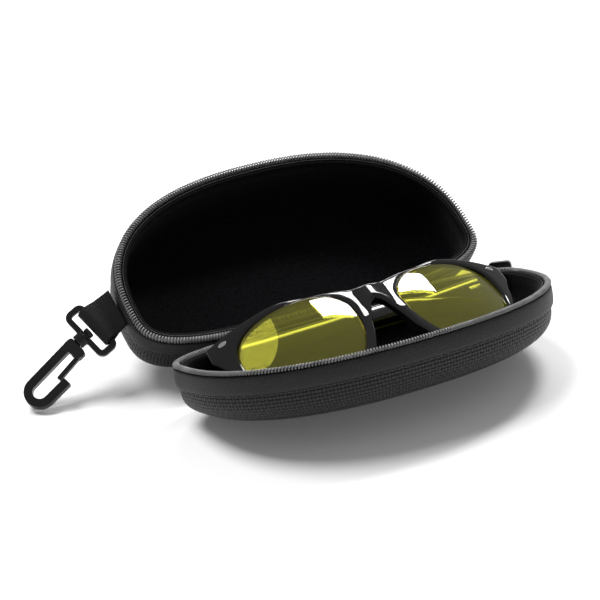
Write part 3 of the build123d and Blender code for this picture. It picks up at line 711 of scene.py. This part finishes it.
# Across the webbing: (share of half the width, share of the thickness), round both faces.
selvedge = [(-1, 0.25), (-0.985, 0.42), (-0.94, 0.5)]
upper_face = selvedge + [(share, 0.5) for share in np.linspace(-0.94, 0.94, 9)[1:-1]]
upper_face += [(-a, b) for a, b in selvedge[::-1]]
section = upper_face + [(a, -b) for a, b in upper_face[::-1]]
made = bmesh.new()
layer = made.loops.layers.uv.new("cloth")
loops, runs = [], [0.0]
for i, (middle, across, normal) in enumerate(strap_path):
    if i:
        runs.append(runs[-1] + (middle - strap_path[i - 1][0]).length / MM)
    loops.append([
        made.verts.new(middle + (across * a * STRAP_WIDTH / 2 + normal * b * STRAP_THICK) * MM)
        for a, b in section
    ])
cells_across = STRAP_WIDTH / 2 / WEBBING_CELL
for i in range(len(loops) - 1):
    for k in range(len(section)):
        n = (k + 1) % len(section)
        face = made.faces.new((loops[i][k], loops[i][n], loops[i + 1][n], loops[i + 1][k]))
        corners = ((k, i), (n, i), (n, i + 1), (k, i + 1))
        for loop, (place, row) in zip(face.loops, corners):
            loop[layer].uv = (section[place][0] * cells_across, runs[row] / WEBBING_CELL)
made.faces.new(loops[0][::-1])
made.faces.new(loops[-1])
strap = finish_build("strap_webbing", made, webbing)
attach(strap, "lid")
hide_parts("strap_loop")

# ---- Swivel ring, snap hook and gate -----------------------------------------------------
# All three are moulded in black acetal with a satin skin. The ring turns in its collar, and
# the gate is a separate springy arm that snaps against the hook's nose.
acetal = simple_material("black_acetal", (0.011, 0.011, 0.012), 0.32, shine=0.35)
skin = placed(acetal, grain, "Object", 700)
shade_between(acetal, skin.outputs["Mottle"], (0.005, 0.005, 0.005), (0.009, 0.009, 0.0095))
raise_by(acetal, skin.outputs["Height"], 0.00008)
for node, body, voxel, rounds in (
    ("swivel_ring", "ring", 0.2, 16),
    ("hook_body", "hook", 0.2, 14),
    ("hook_gate", "gate", 0.14, 10),
):
    piece = moulded(node, voxel, rounds, acetal, node + "_moulding")
    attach(piece, body)
    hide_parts(node)

# ---- Glasses front -----------------------------------------------------------------------
# Injection-moulded glossy frame, wrapped round the face, with rounded edges and small
# nose pads moulded on its back.
front_origin = hinge + Vector((0, -40.5, 17.1)) * MM
front_up = Vector(joints["temple_left_fold"]["axis"]).normalized()
front_out = Vector(joints["glasses_lift"]["axis"]).normalized()
WRAP = 155.0
FRAME_THICK, RIM_EDGE, BRIDGE_EDGE = 4.0, 1.1, 1.9
CROWN, CROWN_REACH = 0.12, 3.2
BROW_LEAN, LEAN_ENDS, LEAN_OVER = 0.08, 40.0, 16.0
SADDLE_HALF, SADDLE_STEP, SADDLE_SLOPE = 7.2, 0.25, 0.14
RIDGE_FALL, RIDGE_ROUND = 6.8, 0.7
PAD_RISE, PAD_AT, PAD_HALF, PAD_REACH = 2.6, -9.0, 7.5, 3.5
BROW = [(0, 15.9), (8, 16.4), (20.3, 19.0), (37.5, 21.9), (54.9, 21.5), (72.0, 19.6)]
LOWER_RIM = [(72.8, 12.6), (69.4, 6.0), (67.6, -4.0), (59.5, -15.5), (45.0, -23.2), (30.0, -25.4)]
NOSE = [(30.0, -25.4), (17.2, -21.0), (10.2, -11.0), (6.4, -1.5), (0, 7.4)]
APERTURE = [
    (11.0, 1.5), (12.0, 10.4), (19.6, 16.6), (34.5, 18.7), (51.4, 17.9), (60.4, 13.4),
    (62.9, 6.0), (60.8, -4.0), (53.8, -13.2), (42.0, -19.2), (30.0, -20.6), (20.0, -16.6),
    (13.6, -8.0),
]
EYE = np.array((37.0, -1.0))


def curve_through(points, closed=False, per_span=24, start=None, finish=None):
    """A smooth curve through points, as a dense polyline."""
    pts = [np.array(p, float) for p in points]
    count = len(pts)
    slopes = []
    for i in range(count):
        if closed:
            before, after = pts[i - 1], pts[(i + 1) % count]
        else:
            before, after = pts[max(i - 1, 0)], pts[min(i + 1, count - 1)]
        slopes.append((after - before) / np.linalg.norm(after - before))
    if start is not None:
        slopes[0] = np.array(start) / np.linalg.norm(start)
    if finish is not None:
        slopes[-1] = np.array(finish) / np.linalg.norm(finish)
    dense = []
    for i in range(count if closed else count - 1):
        a, b = pts[i], pts[(i + 1) % count]
        reach = np.linalg.norm(b - a)
        sa, sb = slopes[i] * reach, slopes[(i + 1) % count] * reach
        for t in np.linspace(0, 1, per_span, endpoint=False):
            leaving = a * (2 * t**3 - 3 * t**2 + 1) + sa * (t**3 - 2 * t**2 + t)
            dense.append(leaving + b * (-2 * t**3 + 3 * t**2) + sb * (t**3 - t**2))
    if not closed:
        dense.append(pts[-1])
    return np.array(dense)


def ray_hits(outline, turns, middle):
    """Where rays from the middle of the lens meet a closed outline."""
    hits = []
    a, b = outline, np.roll(outline, -1, axis=0)
    for turn in turns:
        ray = np.array([math.cos(turn), math.sin(turn)])
        side_a = (a - middle) @ np.array([-ray[1], ray[0]])
        side_b = (b - middle) @ np.array([-ray[1], ray[0]])
        cross = (side_a * side_b <= 0) & (side_a != side_b)
        share = side_a[cross] / (side_a[cross] - side_b[cross])
        spots = a[cross] + (b[cross] - a[cross]) * share[:, None]
        reach = (spots - middle) @ ray
        hits.append(spots[np.argmax(reach)])
    return np.array(hits)


brow_line = curve_through(BROW, start=(1, 0), finish=(1, -0.15))
lower_line = curve_through(LOWER_RIM)
nose_line = curve_through(NOSE, start=(-1, 0), finish=(-1, 0.3))
half_outline = np.vstack([brow_line, lower_line, nose_line])
aperture_line = curve_through(APERTURE, closed=True)


def to_edge(spots, outline):
    """Distance of each spot from an outline's segments, a polyline."""
    a, b = outline[:-1], outline[1:]
    run = b - a
    length = (run**2).sum(1) + 1e-12
    best = np.full(len(spots), 1e9)
    for k in range(len(a)):
        t = np.clip(((spots - a[k]) @ run[k]) / length[k], 0, 1)
        best = np.minimum(best, np.linalg.norm(spots - (a[k] + t[:, None] * run[k]), axis=1))
    return best


def on_face(x, y, behind, side):
    """A place on the wrapped front: x round the curve, y up, and so far behind the face."""
    turn = side * x / WRAP
    radial = Vector((math.sin(turn), 0, 0)) + front_out * math.cos(turn)
    return front_origin + (front_up * y - front_out * WRAP + radial * (WRAP - behind)) * MM


# Rows of spots across the rim, from the opening to the outline, closest at its two edges.
RAYS, FLAT_SPOTS = 560, 7
EDGE_STEPS = np.array([0, 0.04, 0.12, 0.25, 0.42, 0.65, 0.95, 1.3])
NARROW = 3.2
rays = np.linspace(0, 2 * math.pi, RAYS, endpoint=False)
inner_line = ray_hits(aperture_line, rays, EYE)
outer_line = ray_hits(half_outline, rays, EYE)
spots = []
for inner, outer in zip(inner_line, outer_line):
    width = np.linalg.norm(outer - inner)
    near = EDGE_STEPS * min(1.0, width / NARROW)
    flat = np.linspace(near[-1], width - near[-1], FLAT_SPOTS + 2)[1:-1]
    steps = (*near, *flat, *(width - near[::-1]))
    spots.append([inner + (outer - inner) * step / width for step in steps])
spots = np.array(spots)
columns = spots.shape[1]
flat_spots = spots.reshape(-1, 2)
from_outline = to_edge(flat_spots, half_outline)
from_opening = to_edge(flat_spots, np.vstack([aperture_line, aperture_line[:1]]))
distance = np.minimum(from_outline, from_opening).reshape(RAYS, columns)
nose_distance = to_edge(flat_spots, nose_line).reshape(RAYS, columns)


def rounded_drop(d, radius):
    """How far the face falls away at a distance from the edge."""
    near = min(d, radius)
    return radius - math.sqrt(max(radius**2 - (radius - near) ** 2, 0))


def front_face(x, drop):
    """How far the front surface lies behind the frame's face; the bridge stands proud."""
    saddle = eased_step((SADDLE_HALF - x) / 2)
    ridge = SADDLE_SLOPE * (RIDGE_FALL - math.hypot(x, RIDGE_ROUND))
    return drop - saddle * (SADDLE_STEP + ridge)


def back_face(x, y, drop, from_nose):
    """How far the back surface lies behind the frame's face, nose pads included."""
    pad = math.exp(-((y - PAD_AT) / PAD_HALF) ** 2) * eased_step((20 - x) / 8)
    return FRAME_THICK - drop + pad * PAD_RISE * eased_step((PAD_REACH - from_nose) / PAD_REACH)


made = bmesh.new()
for side in (-1, 1):
    front_skin, back_skin = [], []
    for skin in (front_skin, back_skin):
        for k in range(RAYS):
            row = []
            for j in range(columns):
                x, y = spots[k][j]
                edge = RIM_EDGE + (BRIDGE_EDGE - RIM_EDGE) * eased_step((14 - x) / 10)
                drop = rounded_drop(distance[k][j], min(edge, FRAME_THICK / 2 - 0.05))
                drop += CROWN * max(0, 1 - distance[k][j] / CROWN_REACH) ** 2
                lean_back = BROW_LEAN * max(0, y) * eased_step((LEAN_ENDS - x) / LEAN_OVER)
                if skin is front_skin:
                    behind = front_face(x, drop)
                else:
                    behind = back_face(x, y, drop, nose_distance[k][j])
                row.append(made.verts.new(on_face(x, y, behind + lean_back, side)))
            skin.append(row)
    for k in range(RAYS):
        n = (k + 1) % RAYS
        for j in range(columns - 1):
            for skin, order in ((front_skin, 1), (back_skin, -1)):
                made.faces.new((skin[k][j], skin[n][j], skin[n][j + 1], skin[k][j + 1])[::order])
        for j in (0, columns - 1):
            at_mirror = j and spots[k][j][0] < 0.02 and spots[n][j][0] < 0.02
            edge = (front_skin[k][j], back_skin[k][j], back_skin[n][j], front_skin[n][j])
            if not at_mirror:
                made.faces.new(edge)
bmesh.ops.remove_doubles(made, verts=made.verts, dist=0.00002)
gloss = simple_material("glossy_nylon", (0.006, 0.006, 0.0065), 0.07)
polish = placed(gloss, grain, "Object", 260)
raise_by(gloss, polish.outputs["Height"], 0.00002, 0.4)
shade_between(gloss, polish.outputs["Mottle"], (0.0045, 0.0045, 0.005), (0.009, 0.009, 0.0095))
front = finish_build("glasses_front", made, gloss)
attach(front, "glasses")
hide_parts("front_frame")

# ---- Lenses ------------------------------------------------------------------------------
# Moulded polycarbonate, tinted yellow-green, held in a groove round each opening.
tint = simple_material("tinted_lens", (0.62, 0.58, 0.03), 0.0)
tint_shader = tint.node_tree.nodes["Principled BSDF"]
tint_shader.inputs["Transmission Weight"].default_value = 0.92
tint_shader.inputs["IOR"].default_value = 1.5
haze = placed(tint, grain, "Object", 120)
shade_between(tint, haze.outputs["Mottle"], (0.55, 0.54, 0.05), (0.62, 0.6, 0.07))
LENS_SET, LENS_THICK, LENS_RINGS, LENS_LAP = 1.1, 2.0, 22, 0.5
LENS_BULGE, LENS_RADIUS = 2.2, 140.0

# The tint turns amber in the last millimetre, where light runs along the lens's edge.
AMBER_FROM, AMBER_FULL = 0.955, 0.985
from_middle = tint.node_tree.nodes.new("ShaderNodeAttribute")
from_middle.attribute_name = "rim_share"
amber_zone = tint.node_tree.nodes.new("ShaderNodeMapRange")
amber_zone.inputs["From Min"].default_value = AMBER_FROM
amber_zone.inputs["From Max"].default_value = AMBER_FULL
amber = tint.node_tree.nodes.new("ShaderNodeMix")
amber.data_type = "RGBA"
amber.inputs["B"].default_value = (0.2, 0.085, 0.015, 1)
for given, taken in (
    (from_middle.outputs["Fac"], amber_zone.inputs["Value"]),
    (amber_zone.outputs["Result"], amber.inputs["Factor"]),
    (tint.node_tree.nodes["Color Ramp"].outputs["Color"], amber.inputs["A"]),
    (amber.outputs["Result"], tint_shader.inputs["Base Color"]),
):
    tint.node_tree.links.new(given, taken)


def on_lens(x, y, behind, side):
    """A place on a domed lens, so far behind its front surface."""
    dome = LENS_BULGE - ((x - EYE[0]) ** 2 + (y - EYE[1]) ** 2) / (2 * LENS_RADIUS)
    return on_face(x, y, LENS_SET + behind - dome, side)


from_eye = inner_line - EYE
groove_line = inner_line + from_eye / np.linalg.norm(from_eye, axis=1)[:, None] * LENS_LAP
lens_edge = groove_line[::2]
around = len(lens_edge)
ring_shares = [ring / LENS_RINGS for ring in range(1, LENS_RINGS + 1)]
for side, hand in ((-1, "left"), (1, "right")):
    made = bmesh.new()
    skins = []
    for behind in (0, LENS_THICK):
        hub = made.verts.new(on_lens(*EYE, behind, side))
        rows = [
            [made.verts.new(on_lens(*(EYE + (p - EYE) * share), behind, side)) for p in lens_edge]
            for share in ring_shares
        ]
        skins.append((hub, rows))
    for hub, rows in skins:
        for k in range(around):
            n = (k + 1) % around
            made.faces.new((hub, rows[0][k], rows[0][n]))
            for low_row, high_row in zip(rows, rows[1:]):
                made.faces.new((low_row[k], high_row[k], high_row[n], low_row[n]))
    front_edge, back_edge = skins[0][1][-1], skins[1][1][-1]
    for k in range(around):
        n = (k + 1) % around
        made.faces.new((front_edge[k], back_edge[k], back_edge[n], front_edge[n]))
    piece = finish_build("lens_" + hand + "_pane", made, tint)
    rim_share = piece.data.attributes.new("rim_share", "FLOAT", "POINT")
    one_skin = [0.0] + [share for share in ring_shares for _ in range(around)]
    rim_share.data.foreach_set("value", one_skin * 2)
    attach(piece, "glasses")
    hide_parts("lens_" + hand)

# ---- Temples -----------------------------------------------------------------------------
# Each temple is a deep moulded arm that thins to a waist and turns down over the ear. Both
# lie folded behind the front, one leaning a little out so that they cross without touching.
STRAIGHT, EAR, EAR_DROP = 88.0, 36.0, math.radians(22)
EAR_BEND = 28.0
ARM_BUTT, ARM_LENGTH, PIN_OUT = -1.5, STRAIGHT + EAR + 5.0, 0.6
ARM_HALF, WAIST_FALL, THIN_FALL, PADDLE_RISE = 6.0, 1.2, 0.8, 0.6
ARM_THICK, BUTT_THICK = 1.6, 1.45
TIP_ROUND, TIP_TAPER = 4.2, 1.2
SECTION_POINTS, UP_SQUARENESS, OUT_SQUARENESS = 28, 0.45, 0.6
runs = np.concatenate([
    [ARM_BUTT, -1.3, -0.9],
    np.linspace(-0.4, ARM_LENGTH - 6, 60),
    np.linspace(ARM_LENGTH - 5.8, ARM_LENGTH - 1.6, 14),
])
headings = [EAR_DROP * eased_step((run - (STRAIGHT - EAR_BEND / 2)) / EAR_BEND) for run in runs]
centre = [np.array([ARM_BUTT, 0.0])]
for step, heading in zip(np.diff(runs), headings[1:]):
    centre.append(centre[-1] + step * np.array([math.cos(heading), -math.sin(heading)]))


def arm_size(run):
    """Half height and half thickness of the arm at a distance from its pin."""
    half = ARM_HALF - WAIST_FALL * eased_step(run / 29)
    half += PADDLE_RISE * eased_step((run - 95) / 25) - THIN_FALL * eased_step((run - 29) / 59)
    thick = ARM_THICK if run > -1.0 else BUTT_THICK
    left = runs[-1] - run
    if left < TIP_ROUND:
        half *= math.sqrt(max(1 - ((TIP_ROUND - left) / (TIP_ROUND + 0.05)) ** 2, 0.002))
    if left < TIP_TAPER:
        thick *= math.sqrt(max(1 - ((TIP_TAPER - left) / (TIP_TAPER + 0.05)) ** 2, 0.01))
    return half, thick


for side, hand, lean in ((-1, "left", 1.7), (1, "right", -1.8)):
    pin = Vector(joints["temple_" + hand + "_fold"]["pos_m"])
    inward = Vector((-side, 0, 0))
    swing = math.radians(lean)
    reach = inward * math.cos(swing) + front_out * math.sin(swing)
    rear = inward * math.sin(swing) - front_out * math.cos(swing)
    made = bmesh.new()
    rings = []
    for run, heading, middle in zip(runs, headings, centre):
        half, thick = arm_size(run)
        ring = []
        for turn in np.linspace(0, 2 * math.pi, SECTION_POINTS, endpoint=False):
            up = half * math.copysign(abs(math.sin(turn)) ** UP_SQUARENESS, math.sin(turn))
            out = thick * math.copysign(abs(math.cos(turn)) ** OUT_SQUARENESS, math.cos(turn))
            along_arm = middle[0] + up * math.sin(heading)
            above = middle[1] + up * math.cos(heading)
            behind = PIN_OUT + ARM_THICK + out
            spot = reach * along_arm + front_up * above + rear * behind
            ring.append(made.verts.new(pin + spot * MM))
        rings.append(ring)
    for low_ring, high_ring in zip(rings, rings[1:]):
        for k in range(SECTION_POINTS):
            n = (k + 1) % SECTION_POINTS
            made.faces.new((low_ring[k], low_ring[n], high_ring[n], high_ring[k]))
    made.faces.new(rings[0][::-1])
    made.faces.new(rings[-1])
    piece = finish_build("temple_" + hand + "_arm", made, gloss)
    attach(piece, "temple_" + hand)
    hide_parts("temple_" + hand)

# ---- Metal fittings ----------------------------------------------------------------------
# Steel barrel hinges with their screws, and oval trim rivets in the front and the temples.
steel = simple_material("hinge_steel", (0.33, 0.33, 0.34), 0.3)
steel.node_tree.nodes["Principled BSDF"].inputs["Metallic"].default_value = 1
brushing = placed(steel, grain, "Object", 1500)
shade_between(steel, brushing.outputs["Mottle"], (0.26, 0.26, 0.27), (0.42, 0.42, 0.43))
raise_by(steel, brushing.outputs["Height"], 0.00004)
chrome = simple_material("bright_steel", (0.72, 0.72, 0.74), 0.14)
chrome.node_tree.nodes["Principled BSDF"].inputs["Metallic"].default_value = 1
plate = placed(chrome, grain, "Object", 900)
shade_between(chrome, plate.outputs["Mottle"], (0.6, 0.6, 0.62), (0.8, 0.8, 0.82))
raise_by(chrome, plate.outputs["Height"], 0.00002)
for hand in ("left", "right"):
    for node, body, voxel in (
        ("front_hinge_", "glasses", 0.14),
        ("hinge_screw_", "glasses", 0.1),
        ("temple_hinge_", "temple_" + hand, 0.12),
    ):
        piece = moulded(node + hand, voxel, 5, steel, node + hand + "_metal")
        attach(piece, body)
        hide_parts(node + hand)

# Oval heads: half length and half width, then heights above the rivet's middle.
HEAD_SIZE, HEAD_FOOT, HEAD_EDGE, HEAD_DOME = (2.1, 1.15), -0.6, 0.12, 0.45
HEAD_OUT, HEAD_POINTS = 0.66, 40
FRONT_HEAD_IN, FRONT_HEAD_DOWN, FRONT_HEAD_OUT = 1.3, 1.2, 0.5
FRONT_HEAD_AT, FRONT_HEAD_SLANT = 65.0, 0.15


def oval_head(name, middle, along, out):
    """A low domed oval head, set square to out."""
    across = out.cross(along).normalized()
    along = across.cross(out).normalized()
    levels = [(HEAD_FOOT, 1.0), (HEAD_EDGE, 1.0)]
    for rise in np.linspace(0.15, 1.45, 8):
        levels.append((HEAD_EDGE + HEAD_DOME * math.sin(rise), math.cos(rise)))
    made = bmesh.new()
    rings = []
    for lift, share in levels:
        ring = []
        for turn in np.linspace(0, 2 * math.pi, HEAD_POINTS, endpoint=False):
            spot = along * math.cos(turn) * HEAD_SIZE[0] + across * math.sin(turn) * HEAD_SIZE[1]
            ring.append(made.verts.new(middle + (spot * share + out * lift) * MM))
        rings.append(ring)
    for low_ring, high_ring in zip(rings, rings[1:]):
        for k in range(HEAD_POINTS):
            n = (k + 1) % HEAD_POINTS
            made.faces.new((low_ring[k], low_ring[n], high_ring[n], high_ring[k]))
    made.faces.new(rings[0][::-1])
    made.faces.new(rings[-1])
    return finish_build(name, made, chrome)


for side, hand in ((-1, "left"), (1, "right")):
    for part, body in (("front", "glasses"), ("temple", "temple_" + hand)):
        low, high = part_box(part + "_rivet_" + hand)
        middle = (low + high) / 2
        if part == "front":
            shift = Vector((-side, 0, 0)) * FRONT_HEAD_IN - front_up * FRONT_HEAD_DOWN
            middle += (shift + front_out * FRONT_HEAD_OUT) * MM
            turn = side * FRONT_HEAD_AT / WRAP
            out = Vector((math.sin(turn), 0, 0)) + front_out * math.cos(turn)
            along = Vector((math.cos(turn), 0, 0)) - front_out * math.sin(turn)
            along -= front_up * side * FRONT_HEAD_SLANT
        else:
            out = -front_out
            along = Vector((1, 0, 0))
        name = part + "_rivet_" + hand + "_head"
        piece = oval_head(name, middle + out * HEAD_OUT * MM, along, out)
        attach(piece, body)
        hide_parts(part + "_rivet_" + hand)
